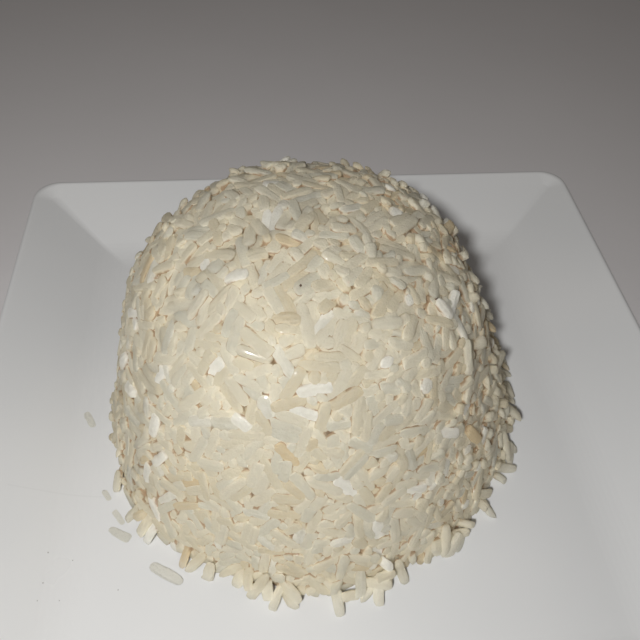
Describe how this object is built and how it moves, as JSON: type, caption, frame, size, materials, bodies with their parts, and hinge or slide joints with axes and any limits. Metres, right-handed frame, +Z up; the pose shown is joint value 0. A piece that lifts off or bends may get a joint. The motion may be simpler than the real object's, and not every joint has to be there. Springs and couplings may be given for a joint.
{
  "type": "plate of steamed white rice",
  "caption": "Bowl-moulded mound of steamed long-grain white rice standing on a square white plate with sloping walls.",
  "frame": {"origin": "under the middle of the plate, on the plane that its foot ring stands on", "axes": "+Z up out of the plate; +X to the right and +Y away from the viewer, along the plate's sides"},
  "size_m": [0.2, 0.2, 0.0785],
  "materials": {
    "porcelain": "glossy white glaze",
    "rice": null
  },
  "bodies": {
    "root": {"plate": "porcelain", "rice_mound": "rice"}
  },
  "joints": []
}
